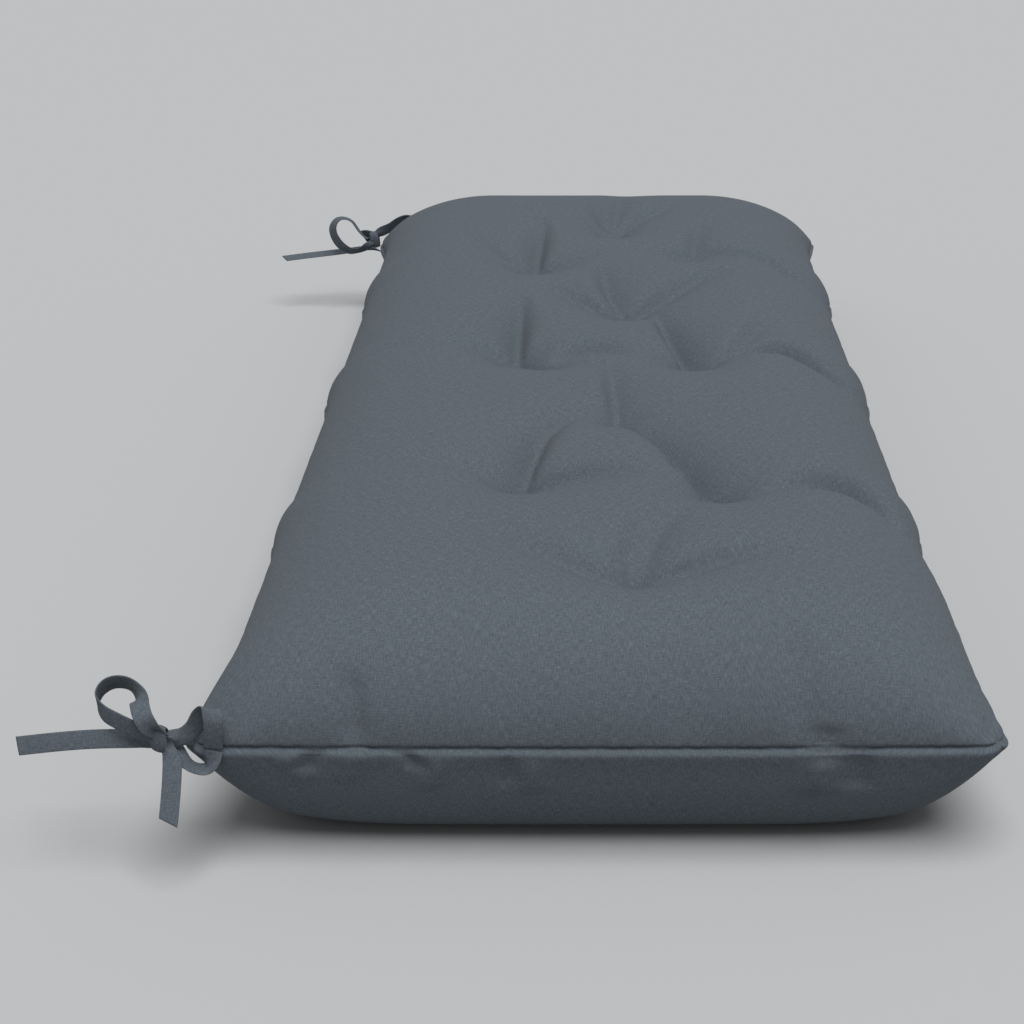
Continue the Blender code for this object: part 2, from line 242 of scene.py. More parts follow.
@dataclass(frozen=True)
class MelangeCanvas:
    """Plain-woven polyester canvas of melange yarn.

    Dark and light fibres are spun together, so single yarns come out paler or darker for
    a few millimetres at a time. That gives fine streaks along both thread directions and
    a matt, slightly hazy surface.
    """

    name: str
    yarn: str = "#50575E"
    pale_yarn: str = "#687077"
    dark_yarn: str = "#3B4148"
    thread_pitch: float = 0.9           # real threads are 0.45 mm apart, too fine to show
    slub_width: float = 0.55            # of one paler or darker yarn, mm
    slub_length: float = 5.0
    fleck: float = 0.50                 # strength of the streaks
    weave_depth: float = 0.10           # mm
    streak_span: Point = (0.70, 1.30)   # sums of the two noises that give the dark and the pale yarn
    weave_share: float = 0.35           # of the weave in the bump, beside the yarns
    bump: float = 0.6
    roughness: float = 0.93
    specular: float = 0.12
    sheen: float = 0.02

    def make(self) -> bpy.types.Material:
        """Build the material.

        The colour is the yarn's, moved towards the pale or dark yarn by the mean of two
        streaked noises, one for each thread direction. The bump is a plain weave: the
        product of two sine waves a thread apart, broken up by the same noises.

        Returns:
            The material.
        """
        material, tree, shader = new_material(self.name)
        cloth = add_node(tree, "ShaderNodeUVMap", {"uv_map": CLOTH_UV})
        in_mm = add_node(tree, "ShaderNodeVectorMath", {"operation": "SCALE"},
                         {0: (cloth, "UV"), "Scale": 1.0 / MILLIMETRE})
        warp = self._streaks(tree, in_mm, (self.slub_length, self.slub_width))
        weft = self._streaks(tree, in_mm, (self.slub_width, self.slub_length))
        both = add_node(tree, "ShaderNodeMath", {"operation": "ADD"}, {0: (warp, 0), 1: (weft, 0)})
        least, most = self.streak_span
        fleck = add_node(tree, "ShaderNodeMapRange", {"clamp": True},
                         {"Value": (both, 0), "From Min": least, "From Max": most,
                          "To Min": 0.5 - self.fleck / 2, "To Max": 0.5 + self.fleck / 2})
        ramp = add_node(tree, "ShaderNodeValToRGB", None, {0: (fleck, 0)})
        stops = ramp.color_ramp.elements
        stops[0].color = linear(self.dark_yarn)
        stops[1].color = linear(self.pale_yarn)
        middle = stops.new(0.5)
        middle.color = linear(self.yarn)
        tree.links.new(ramp.outputs[0], shader.inputs["Base Color"])

        separate = add_node(tree, "ShaderNodeSeparateXYZ", None, {0: (in_mm, 0)})
        turns = math.pi / self.thread_pitch
        waves = []
        for axis in ("X", "Y"):
            angle = add_node(tree, "ShaderNodeMath", {"operation": "MULTIPLY"},
                             {0: (separate, axis), 1: turns})
            waves.append(add_node(tree, "ShaderNodeMath", {"operation": "SINE"}, {0: (angle, 0)}))
        weave = add_node(tree, "ShaderNodeMath", {"operation": "MULTIPLY"},
                         {0: (waves[0], 0), 1: (waves[1], 0)})
        height = add_node(tree, "ShaderNodeMath", {"operation": "MULTIPLY_ADD"},
                          {0: (weave, 0), 1: self.weave_share, 2: (both, 0)})
        bump = add_node(tree, "ShaderNodeBump", None,
                        {"Strength": self.bump, "Distance": self.weave_depth * MILLIMETRE,
                         "Height": (height, 0)})
        tree.links.new(bump.outputs[0], shader.inputs["Normal"])
        for name, value in (("Roughness", self.roughness), ("Specular IOR Level", self.specular),
                            ("Sheen Weight", self.sheen), ("Sheen Roughness", 0.5)):
            shader.inputs[name].default_value = value
        return material

    @staticmethod
    def _streaks(tree: bpy.types.NodeTree, in_mm: bpy.types.Node, size: Point) -> bpy.types.Node:
        """Noise stretched to yarns of the given size in millimetres along and across."""
        placed = add_node(tree, "ShaderNodeVectorMath", {"operation": "MULTIPLY"},
                          {0: (in_mm, 0), 1: (1.0 / size[0], 1.0 / size[1], 0.0)})
        return add_node(tree, "ShaderNodeTexNoise", {"noise_dimensions": "2D"},
                        {"Vector": (placed, 0), "Scale": 1.0, "Detail": 2.0, "Roughness": 0.6})


@dataclass(frozen=True)
class PaleBoard:
    """Matt painted board for the studio floor: pale, even, no gloss."""

    name: str = "pale_board"
    paint: str = "#A7A8A9"
    roughness: float = 0.95

    def make(self) -> bpy.types.Material:
        """Build the material."""
        material, _, shader = new_material(self.name)
        shader.inputs["Base Color"].default_value = linear(self.paint)
        shader.inputs["Roughness"].default_value = self.roughness
        shader.inputs["Specular IOR Level"].default_value = 0.1
        return material


# --------------------------------------------------------------------------- cushion


@dataclass(frozen=True)
class Fold:
    """A valley in the top panel, drawn down along a curved line, in millimetres.

    Each stop of the line is the distance from the near end, the distance from the middle
    line and the depth. The valley fades sideways, quickly on the side that the cloth hangs
    over from and slowly on the other.
    """

    line: tuple[tuple[float, float, float], ...]
    near: float                         # reach on the steep side
    far: float                          # reach on the other side
    steep: Point = (1.0, 0.0)           # direction of the steep side, the far end's if not said
    round: float = 3.0                  # of the valley's bottom

    def curve(self) -> Array:
        """The line's stops in metres, joined by a spline of four steps between two stops."""
        return spline(np.array(self.line) * MILLIMETRE, [4] * (len(self.line) - 1))

    def hollow(self, x: Array, y: Array) -> Array:
        """Depth of the valley at each place.

        Each short stretch of the curve gives depth * exp(-distance / reach), with a round
        bottom, and the deepest of them counts. The reach turns from near to far with the
        cosine of the angle to the steep side.

        Args:
            x: Metres from the near end.
            y: Metres from the middle line.

        Returns:
            Depth in metres.
        """
        deepest = np.zeros_like(x)
        near, far, bottom = (size * MILLIMETRE for size in (self.near, self.far, self.round))
        curve = self.curve()
        for start, end in zip(curve, curve[1:]):
            dx, dy, change = end - start
            length = math.hypot(dx, dy)
            t = np.clip(((x - start[0]) * dx + (y - start[1]) * dy) / length**2, 0.0, 1.0)
            off_x, off_y = x - start[0] - t * dx, y - start[1] - t * dy
            away = np.sqrt(off_x**2 + off_y**2 + bottom**2)
            turn = (off_x * self.steep[0] + off_y * self.steep[1]) / away
            reach = far + (near - far) * (0.5 + 0.5 * turn)
            depth = (start[2] + change * t) * np.exp((bottom - away) / reach)
            deepest = np.maximum(deepest, depth)
        return deepest


@dataclass(frozen=True)
class Tuft:
    """A place where a thread draws the top panel down, in millimetres.

    The place is the distance from the near end and the distance from the middle line.
    """

    place: Point
    depth: float
    reach: float = 24.0
    round: float = 5.0                  # of the hollow's bottom

    def away(self, x: Array, y: Array) -> Array:
        """Metres from the tuft to each place."""
        return np.hypot(x - self.place[0] * MILLIMETRE, y - self.place[1] * MILLIMETRE)

    def hollow(self, x: Array, y: Array) -> Array:
        """Depth of the hollow at each place in metres: depth * exp(-distance / reach)."""
        bottom = self.round * MILLIMETRE
        away = np.hypot(self.away(x, y), bottom) - bottom
        return self.depth * MILLIMETRE * np.exp(-away / (self.reach * MILLIMETRE))


@dataclass(frozen=True)
class Pucker:
    """A small pinch or swelling that runs away from the near end's seam, in millimetres.

    It lies at a place across the width and covers a stretch of cloth measured from the
    seam. A positive depth sinks it.
    """

    across: float
    width: float
    depth: float
    start: float
    stop: float
    slant: float = 0.0                  # sideways drift for each millimetre of cloth

    def sink(self, y: Array, run: Array) -> Array:
        """Depth at each place: a bell across its line, faded at both ends of its stretch.

        Args:
            y: Metres from the middle line.
            run: Metres of cloth from the near end's seam.

        Returns:
            Depth in metres.
        """
        y, run = y / MILLIMETRE, run / MILLIMETRE
        middle, half = (self.start + self.stop) / 2, (self.stop - self.start) / 2
        ends = smooth_step(1.5 - np.abs(run - middle) / half)
        depth = self.depth * bell(y - self.across - self.slant * run, self.width) * ends
        return depth * MILLIMETRE


TUFTS = (
    Tuft((119, -26), 13),
    Tuft((286, 56), 16), Tuft((266, -88), 17),
    Tuft((412, -16), 12),
    Tuft((570, 70), 16), Tuft((558, -81), 17),
    Tuft((702, -27), 17),
    Tuft((853, 62), 15), Tuft((892, -95), 12),
    Tuft((985, -16), 13),
)
FOLDS = (
    # From the first tuft: an arm to each side and two short ones away from the end
    Fold(((119, -26, 12), (121, 0, 10), (135, 27, 7), (158, 55, 5), (198, 103, 1)), 12, 24),
    Fold(((119, -26, 12), (127, -63, 10), (136, -88, 7), (141, -128, 1)), 8, 20),
    Fold(((122, -24, 11), (146, -22, 8), (180, -30, 5), (218, -38, 2)), 8, 16, (0.0, 1.0)),
    Fold(((132, -30, 9), (184, -44, 6), (226, -67, 2)), 8, 16, (0.0, 1.0)),
    # First pair, left tuft
    Fold(((286, 56, 15), (338, 48, 13), (376, 39, 9), (410, 18, 6)), 8, 20, (0.3, -0.95)),
    Fold(((286, 56, 14), (289, 28, 12), (292, -2, 8), (284, -36, 3)), 9, 26),
    Fold(((286, 56, 13), (296, 86, 7), (304, 120, 3.5), (312, 245, 3)), 16, 26),
    # First pair, right tuft
    Fold(((266, -88, 17), (303, -71, 18), (330, -64, 16), (376, -42, 14), (410, -16, 11)), 8, 26,
          (-0.5, 0.87)),
    Fold(((266, -88, 13), (262, -106, 9), (270, -140, 7), (284, -166, 11), (288, -188, 15),
          (278, -206, 14), (258, -222, 10), (244, -245, 7)), 7, 16),
    # Second single tuft
    Fold(((412, -16, 12), (468, -14, 8), (530, -11, 3)), 7, 20, (0.0, 1.0)),
    # Second pair, left tuft
    Fold(((570, 70, 15), (648, 71, 11), (718, 72, 4)), 8, 18, (0.0, -1.0)),
    Fold(((570, 70, 14), (546, 45, 11), (538, 19, 4)), 10, 22),
    Fold(((558, 33, 7), (572, 20, 9), (580, -3, 8), (565, -29, 4)), 10, 22),
    Fold(((570, 70, 13), (590, 100, 8), (598, 140, 3.5), (606, 245, 3)), 16, 26),
    # Second pair, right tuft
    Fold(((558, -81, 17), (628, -67, 14), (720, -51, 5)), 7, 22, (0.0, 1.0)),
    Fold(((558, -81, 15), (564, -100, 10), (576, -120, 8), (592, -160, 11), (586, -184, 14),
          (566, -208, 13), (546, -245, 7)), 7, 16),
    Fold(((580, -120, 8), (628, -142, 6), (672, -158, 1)), 8, 16, (0.0, 1.0)),
    # Third single tuft
    Fold(((702, -27, 14), (718, 4, 10), (756, 40, 4)), 11, 24),
    Fold(((702, -27, 12), (756, -12, 9), (838, -4, 4)), 8, 20, (0.0, 1.0)),
    Fold(((702, -27, 14), (735, -58, 11), (768, -82, 8), (808, -112, 5), (804, -150, 1)), 10, 22),
    # Third pair
    Fold(((853, 62, 14), (930, 60, 10), (1005, 58, 4)), 8, 18, (0.0, -1.0)),
    Fold(((853, 62, 11), (887, 104, 6), (944, 132, 2)), 14, 22),
    Fold(((853, 62, 13), (862, 38, 9), (875, 10, 3)), 10, 26),
    Fold(((898, -48, 3), (904, -100, 9), (899, -161, 7), (870, -200, 10), (848, -245, 5)), 10, 24),
    Fold(((902, -99, 9), (992, -110, 3)), 8, 18, (0.0, 1.0)),
    # Last single tuft
    Fold(((985, -16, 11), (1028, 4, 7), (1078, 19, 2)), 13, 20),
    Fold(((985, -16, 11), (1036, -48, 7), (1092, -95, 2)), 13, 20),
    Fold(((985, -16, 10), (1056, -22, 6), (1120, -29, 2)), 8, 16, (0.0, 1.0)),
)
TOP_PUCKERS = (
    Pucker(148, 7.5, 5.5, 6, 48, 0.1),
    Pucker(-141, 8.5, 3, 0, 14),
    Pucker(-128, 13, 3.6, 12, 75, 0.08),
    Pucker(-52, 14, 1.4, 10, 60),
    Pucker(60, 18, 1, 20, 70),
)
UNDER_PUCKERS = (
    Pucker(-141, 8, 2.8, 0, 12),
    Pucker(-139, 8.5, -2.8, 12, 46, 0.1),
    Pucker(-162, 9, 3.5, 4, 36),
    Pucker(120, 6, 3.6, 2, 16, -0.6),
    Pucker(146, 8, -2, 4, 26, 0.4),
    Pucker(172, 6, 3.8, 2, 18, 0.5),
    Pucker(196, 8.5, -1.8, 6, 26, -0.5),
    Pucker(95, 8, -2.2, 10, 34, 0.3),
    Pucker(56, 6, 2.6, 8, 30),
    Pucker(40, 8, -2.2, 12, 34),
)


@dataclass
class Cushion:
    """The filled cushion: two panels of canvas that share one seam.

    Each panel rises from the seam as a superellipse and its middle is level. The top is
    drawn down by the tufts and folds. The underside lies on the surface.
    """

    low: Array                          # the node's box
    high: Array
    seam_height: float = SEAM_HEIGHT
    top_roll: Point = (0.105, 0.130)    # distance in from an end and from a long side
    top_power: float = 2.0
    top_spare: float = 0.002            # added to the crown, which the tufts take off again
    under_roll: Point = (0.054, 0.062)
    under_power: float = 2.2
    top_corner: float = 0.060           # thinning of each panel round a corner
    under_corner: float = 0.150
    under_corner_power: float = 2.6     # blunter than an ellipse, so that a corner stays full
    corner_radius: float = 0.018
    side_draw_in: float = 0.009         # of a long side between two channels
    end_relief: float = 0.11            # stretch by each end over which a side draws in less
    end_swell: float = 0.002            # of an end's middle past its corners
    corner_flare: float = 0.005         # of the corners past the sides
    flare_reach: float = 0.05
    front_ease: Point = (0.6, 0.30)     # less draw-in of the front side by the near end: share, stretch
    ear_rows: Sequence[float] = (0.315, 0.625, 0.930)   # where the channels reach the sides
    ear_size: float = 0.6               # share of the draw-in that a channel holds back
    ear_near: float = 0.040             # how fast an ear fades on its near side
    ear_far: float = 0.012
    blend: float = 4.0                  # sharpness with which hollows that meet are merged
    relief: float = 1.75                # of the tufts and folds before the cloth settles
    first_row: float = 0.0007           # cells next to the seam
    row_growth: float = 1.16
    cell: float = 0.0036                # cells elsewhere
    slide_reach: float = 0.02           # over which the underside's grid slides to its own spacing
    edge_blend: float = 0.03            # over which the way out of an edge turns round a corner
    under_hollow: float = 0.016
    under_reach: float = 0.042
    gather: float = 0.00045             # ripple of the cloth where the stitches gather it
    gather_fade: float = 0.016
    gather_waves: Sequence[float] = (0.017, 0.023, 0.031, 0.044, 0.067)
    seam_hold: Point = (0.003, 0.004)   # cloth by the seam that puckers and ripples leave alone
    settle_every: int = 3               # grid lines from one point of the settled cloth to the next
    settle_frames: int = 20
    settle_cap: float = 0.0025          # furthest that it may move
    settle_soften: int = 2              # passes that smooth the movement
    tuft_hold: float = 0.015            # cloth round a tuft that its thread holds
    lip: float = 0.0026                 # how far the lower panel swells past the seam
    lip_drop: float = 0.0042
    groove: float = 0.0019              # depth and width of the sewn line
    groove_width: float = 0.0015

    def __post_init__(self) -> None:
        """Take the outline from the node's box."""
        self.length = float(self.high[0] - self.low[0])
        self.width = float(self.high[1] - self.low[1])
        self.crown = float(self.high[2]) - self.seam_height

    # ---- grid

    def rim_rows(self) -> Array:
        """Shares of the way up a panel's roll, 0 at the seam to 1, a row each.

        The first row is narrow and each next one is wider, up to the full cell.

        Returns:
            Increasing values from 0 to 1.
        """
        arc = math.pi / 2 * math.sqrt((self.top_roll[0] ** 2 + self.crown**2) / 2)
        widths = self.first_row * self.row_growth ** np.arange(200)
        places = np.cumsum(np.minimum(widths, self.cell))
        places = places[places < arc]
        return np.concatenate([[0.0], places / places[-1]])

    def insets(self, roll: float, power: float, half: float, middle: int) -> Array:
        """Distances in from an edge, a grid line each, over the whole width.

        In the roll, the distance is roll * (1 - cos(angle)^(2 / power)), which spaces
        the rows evenly along the superellipse. The middle is even.

        Args:
            roll: Distance in over which the panel rises.
            power: Power of the superellipse.
            half: Half the cushion's size that way.
            middle: Cells between the two rolls.

        Returns:
            Signed places from -half to half.
        """
        angle = self.rim_rows() * math.pi / 2
        rim = roll * (1.0 - np.maximum(np.cos(angle), 0.0) ** (2.0 / power))
        level = np.linspace(-half + roll, half - roll, middle + 1)
        return np.concatenate([-half + rim[:-1], level, (half - rim[:-1])[::-1]])

    def grid(self, panel: Panel) -> tuple[Array, Array, Array, Array]:
        """Plan places of a panel's grid before its outline is shaped.

        Both panels have their grid lines at the same places on the seam. Away from the
        seam each slides to the spacing that suits its own roll.

        Args:
            panel: Which panel.

        Returns:
            Flat places x and y, and distances in from the ends and the long sides.
        """
        half_x, half_y = self.length / 2, self.width / 2
        middle_x = round((self.length - 2 * self.top_roll[0]) / self.cell)
        middle_y = round((self.width - 2 * self.top_roll[1]) / self.cell)
        seam_x = self.insets(self.top_roll[0], self.top_power, half_x, middle_x)
        seam_y = self.insets(self.top_roll[1], self.top_power, half_y, middle_y)
        if panel is Panel.TOP:
            x, y = np.meshgrid(seam_x, seam_y, indexing="ij")
        else:
            own_x = self.insets(self.under_roll[0], self.under_power, half_x, middle_x)
            own_y = self.insets(self.under_roll[1], self.under_power, half_y, middle_y)
            slide_x = smooth_step((half_x - np.abs(seam_x)) / self.slide_reach)
            slide_y = smooth_step((half_y - np.abs(seam_y)) / self.slide_reach)
            x = seam_x[:, None] + (own_x - seam_x)[:, None] * slide_y[None, :]
            y = seam_y[None, :] + (own_y - seam_y)[None, :] * slide_x[:, None]
        return x, y, half_x - np.abs(x), half_y - np.abs(y)

    def outline(self, x: Array, y: Array) -> tuple[Array, Array]:
        """Shape the plan: sides drawn in between the channels and round corners.

        Args:
            x: Flat places along the length.
            y: Flat places across the width.

        Returns:
            The shaped places.
        """
        half_x, half_y = self.length / 2, self.width / 2
        past_x = np.abs(x) - (half_x - self.corner_radius)
        past_y = np.abs(y) - (half_y - self.corner_radius)
        in_corner = (past_x > 0) & (past_y > 0)
        reach = np.maximum(np.hypot(past_x, past_y), 1e-9)
        share = np.where(in_corner, np.maximum(past_x, past_y) / reach, 1.0)
        x2 = x - np.where(in_corner, np.sign(x) * past_x * (1.0 - share), 0.0)
        y2 = y - np.where(in_corner, np.sign(y) * past_y * (1.0 - share), 0.0)
        from_end = x + half_x
        relaxed = smooth_step(1.0 - (half_x - np.abs(x)) / self.end_relief)
        for row in self.ear_rows:
            reach = np.where(from_end < row, self.ear_near, self.ear_far)
            relaxed = np.maximum(relaxed, self.ear_size * bell(from_end - row, reach))
        ease, stretch = self.front_ease
        eased = np.maximum(relaxed, ease * smooth_step(2.0 - 2.0 * from_end / stretch))
        relaxed = np.where(y < 0, eased, relaxed)
        across = y / half_y
        y2 -= across * self.side_draw_in * (1.0 - relaxed)
        y2 += across * self.corner_flare * bell(half_x - np.abs(x), self.flare_reach)
        x2 += (x / half_x) * self.end_swell * (1.0 - across**2)
        return x2, y2

    # ---- panels

    def hollows(self, x: Array, y: Array) -> Array:
        """Depth that the tufts and folds draw the top down, merged by a power mean.

        Args:
            x: Metres from the near end.
            y: Metres from the middle line.

        Returns:
            Depth in metres.
        """
        total = sum(part.hollow(x, y) ** self.blend for part in (*TUFTS, *FOLDS))
        return self.relief * total ** (1.0 / self.blend)

    def top(self) -> Array:
        """Places of the top panel's grid."""
        flat_x, flat_y, in_x, in_y = self.grid(Panel.TOP)
        x, y = self.outline(flat_x, flat_y)
        rise = superellipse(in_x, self.top_roll[0], self.top_power)
        rise = rise * superellipse(in_y, self.top_roll[1], self.top_power)
        rise = rise * superellipse(np.hypot(in_x, in_y), self.top_corner, 2.0)
        z = self.seam_height + rise * (self.crown + self.top_spare - self.hollows(x + self.length / 2, y))
        return np.stack([x, y, z], -1)

    def under(self) -> Array:
        """Places of the underside's grid."""
        flat_x, flat_y, in_x, in_y = self.grid(Panel.UNDER)
        x, y = self.outline(flat_x, flat_y)
        drop = superellipse(in_x, self.under_roll[0], self.under_power)
        drop = drop * superellipse(in_y, self.under_roll[1], self.under_power)
        drop = drop * superellipse(np.hypot(in_x, in_y), self.under_corner, self.under_corner_power)
        z = self.seam_height * (1.0 - drop)
        for tuft in TUFTS:
            away = tuft.away(x + self.length / 2, y) / self.under_reach
            z += self.under_hollow * np.clip(1.0 - away**2, 0.0, 1.0) ** 2
        return np.stack([x, y, z], -1)

    def outward(self, points: Array) -> Array:
        """Level directions out of the nearest edge, blended round the corners."""
        half = np.array((self.length / 2, self.width / 2))
        past = np.clip((np.abs(points[..., :2]) - half) / self.edge_blend + 1.0, 0.0, None) ** 2
        direction = past * np.sign(points[..., :2])
        size = np.linalg.norm(direction, axis=-1, keepdims=True)
        level = direction / np.maximum(size, 1e-9) * np.clip(size, 0.0, 1.0)
        return np.concatenate([level, np.zeros_like(size)], -1)

    def sew(self, top: Array, under: Array) -> None:
        """Shape the seam: a sunk line, with the lower panel swelling just below it.

        The line is drawn in by groove * exp(-(height / groove_width)^2) and the lower
        panel stands out by lip * s * exp(1 - s), where s is the drop over lip_drop.

        Args:
            top: Places of the top panel, changed in place.
            under: Places of the underside, changed in place.
        """
        for points in (top, under):
            out = self.outward(points)
            height = points[..., 2:] - self.seam_height
            points -= out * self.groove * bell(height, self.groove_width)
            if points is under:
                s = np.clip(-height / self.lip_drop, 0.0, None)
                points += out * self.lip * s * np.exp(1.0 - s)

    def pucker(self, top: Array, under: Array) -> None:
        """Pinch the near end's puckers into both panels and ripple the cloth along the seam.

        The ripple is a sum of sines along the seam, faded as exp(-run / gather_fade) with
        the length of cloth from the nearest edge. Neither moves the seam itself.

        Args:
            top: Places of the top panel, changed in place.
            under: Places of the underside, changed in place.
        """
        random = np.random.default_rng(11)
        waves = [(length, random.uniform(0.0, 2 * math.pi)) for length in self.gather_waves]
        pucker_hold, ripple_hold = self.seam_hold
        for points, puckers, facing in ((top, TOP_PUCKERS, 1.0), (under, UNDER_PUCKERS, -1.0)):
            normals = facing * surface_normals(points)
            runs = [self.run(points, axis) for axis in (0, 1)]
            seam = np.minimum(*[np.minimum(run, run.max(axis, keepdims=True) - run)
                                for axis, run in enumerate(runs)])
            place = points[..., 0] + 1.7 * points[..., 1]   # grows along the ends and the sides alike
            ripple = sum(np.sin(2 * math.pi * place / length + phase) for length, phase in waves) / 2
            sink = self.gather * ripple * np.exp(-seam / self.gather_fade) * smooth_step(seam / ripple_hold)
            start = smooth_step(runs[0] / pucker_hold + 0.15)
            for pucker in puckers:
                sink = sink + pucker.sink(points[..., 1], runs[0]) * start
            points -= normals * sink[..., None]

    @staticmethod
    def run(points: Array, axis: int) -> Array:
        """Length of cloth from the first row of a grid, along its lines."""
        steps = np.linalg.norm(np.diff(points, axis=axis), axis=-1)
        run = np.cumsum(steps, axis=axis)
        return np.concatenate([np.zeros_like(run.take([0], axis)), run], axis)

    @staticmethod
    def numbering(shape: tuple[int, int]) -> tuple[Array, Array, Array]:
        """Number the points of both panels, which share those on the seam.

        Args:
            shape: Rows and columns of a panel's grid.

        Returns:
            Point numbers of the top and of the underside, and which places are off the seam.
        """
        top = np.arange(shape[0] * shape[1]).reshape(shape)
        inner = np.zeros(shape, bool)
        inner[1:-1, 1:-1] = True
        under = top.copy()
        under[inner] = top.size + np.arange(inner.sum())
        return top, under, inner

    # ---- cloth

    def settle(self, top: Array, under: Array) -> None:
        """Let both panels settle as cloth over the filling, in place.

        A coarser copy of the two grids is simulated with the filling's pressure. The seam,
        the tufts and the underside where it lies flat are held. The movement is capped and
        spread back over the fine grids in straight steps between the coarse points.

        Args:
            top: Places of the top panel.
            under: Places of the underside.
        """
        picks = [np.unique(np.append(np.arange(0, count, self.settle_every), count - 1))
                 for count in top.shape[:2]]
        coarse = [points[np.ix_(*picks)] for points in (top, under)]
        *ids, inner = self.numbering(coarse[0].shape[:2])
        places = np.vstack([coarse[0].reshape(-1, 3), coarse[1][inner]])
        faces = np.vstack([grid_faces(ids[0]), grid_faces(ids[1], True)])
        cloth = mesh_object("settling_cloth", places, faces)
        held = np.zeros(len(places))
        held[ids[0][~inner]] = 1.0
        x, y = coarse[0][..., 0] + self.length / 2, coarse[0][..., 1]
        from_tuft = np.min([tuft.away(x, y) for tuft in TUFTS], axis=0)
        held[ids[0]] = np.maximum(held[ids[0]], smooth_step(1.4 - from_tuft / self.tuft_hold))
        flat = inner & (coarse[1][..., 2] < self.seam_height / 2)
        held[ids[1][flat]] = 1.0
        moved = self.simulate(cloth, held) - places
        size = np.linalg.norm(moved, axis=1, keepdims=True)
        moved *= self.settle_cap * np.tanh(size / self.settle_cap) / np.maximum(size, 1e-9)
        LOG.info("cloth settled by up to %.1f mm", size.max() / MILLIMETRE)
        spread = [np.stack([np.interp(np.arange(count), pick, row) for row in np.eye(len(pick))], 1)
                  for count, pick in zip(top.shape[:2], picks)]
        for points, numbers in zip((top, under), ids):
            shift = moved[numbers]
            for _ in range(self.settle_soften):
                shift[1:-1] = (shift[:-2] + 2 * shift[1:-1] + shift[2:]) / 4
                shift[:, 1:-1] = (shift[:, :-2] + 2 * shift[:, 1:-1] + shift[:, 2:]) / 4
            points += np.einsum("ia,abk,jb->ijk", spread[0], shift, spread[1])

    def simulate(self, cloth: bpy.types.Object, held: Array) -> Array:
        """Run the cloth and return where its points end.

        Args:
            cloth: The closed cloth, removed afterwards.
            held: How firmly each point is held, 0 to 1.

        Returns:
            Places, a row each.
        """
        group = cloth.vertex_groups.new(name="held")
        levels = np.round(held, 1)
        for level in np.unique(levels[levels > 0]):
            group.add(np.flatnonzero(levels == level).tolist(), float(level), "REPLACE")
        modifier = cloth.modifiers.new("settle", "CLOTH")
        settings = modifier.settings
        settings.quality = 6
        settings.mass = 0.3
        settings.tension_stiffness = settings.compression_stiffness = 15.0
        settings.shear_stiffness = 5.0
        settings.bending_stiffness = 0.5
        settings.use_pressure = True
        settings.uniform_pressure_force = 1.0
        settings.effector_weights.gravity = 0.0
        settings.vertex_group_mass = "held"
        settings.pin_stiffness = 50.0
        modifier.collision_settings.use_collision = False
        modifier.point_cache.frame_start = 1
        modifier.point_cache.frame_end = self.settle_frames
        scene = bpy.context.scene
        for frame in range(1, self.settle_frames + 1):
            scene.frame_set(frame)
        result = cloth.evaluated_get(bpy.context.evaluated_depsgraph_get()).to_mesh()
        places = np.empty(len(result.vertices) * 3, np.float32)
        result.vertices.foreach_get("co", places)
        scene.frame_set(1)
        bpy.data.objects.remove(cloth, do_unlink=True)
        return places.reshape(-1, 3).astype(float)

    # ---- making

    def cloth_map(self, points: Array) -> Array:
        """Cloth coordinates of a panel in metres: lengths along its grid lines."""
        maps = []
        for axis in (0, 1):
            run = self.run(points, axis)
            maps.append(run - run.take([run.shape[axis] // 2], axis))
        return np.stack(maps, -1)

    def build(self, canvas: bpy.types.Material) -> bpy.types.Object:
        """Make the cushion.

        Args:
            canvas: Its cloth.

        Returns:
            The finished piece.
        """
        top, under = self.top(), self.under()
        self.settle(top, under)
        self.sew(top, under)
        self.pucker(top, under)
        numbers, under_numbers, inner = self.numbering(top.shape[:2])
        points = np.vstack([top.reshape(-1, 3), under[inner]])
        faces, maps = [], []
        for grid_points, ids, down in ((top, numbers, False), (under, under_numbers, True)):
            faces.append(grid_faces(ids, down))
            cells = grid_faces(np.arange(numbers.size).reshape(numbers.shape), down)
            maps.append(self.cloth_map(grid_points).reshape(-1, 2)[cells.ravel()])
        cushion = mesh_object("filled_cushion", points, np.vstack(faces), np.vstack(maps))
        cushion.data.materials.append(canvas)
        return cushion


# --------------------------------------------------------------------------- ties


class Stop(NamedTuple):
    """A point on a tape's middle line and the way its width runs there.

    inward is measured from the cushion's end towards its middle, out from its back edge to
    the outside and up from the seam, all in millimetres. The three face values are the same
    directions for the tape's width.
    """

    inward: float
    out: float
    up: float
    face_in: float
    face_out: float
    face_up: float


@dataclass(frozen=True)
class Strap:
    """A run of tape: its route, where it is gathered, and how its free end is cut."""

    stops: tuple[Stop, ...]
    gathered: tuple[int, ...] = ()      # stops at which the knot holds it
    gather_share: float = 0.70          # of its width left there
    gather_run: float = 0.0065          # how fast a gather fades
    slant: float = 0.0                  # how far the cut at its last end leans, mm


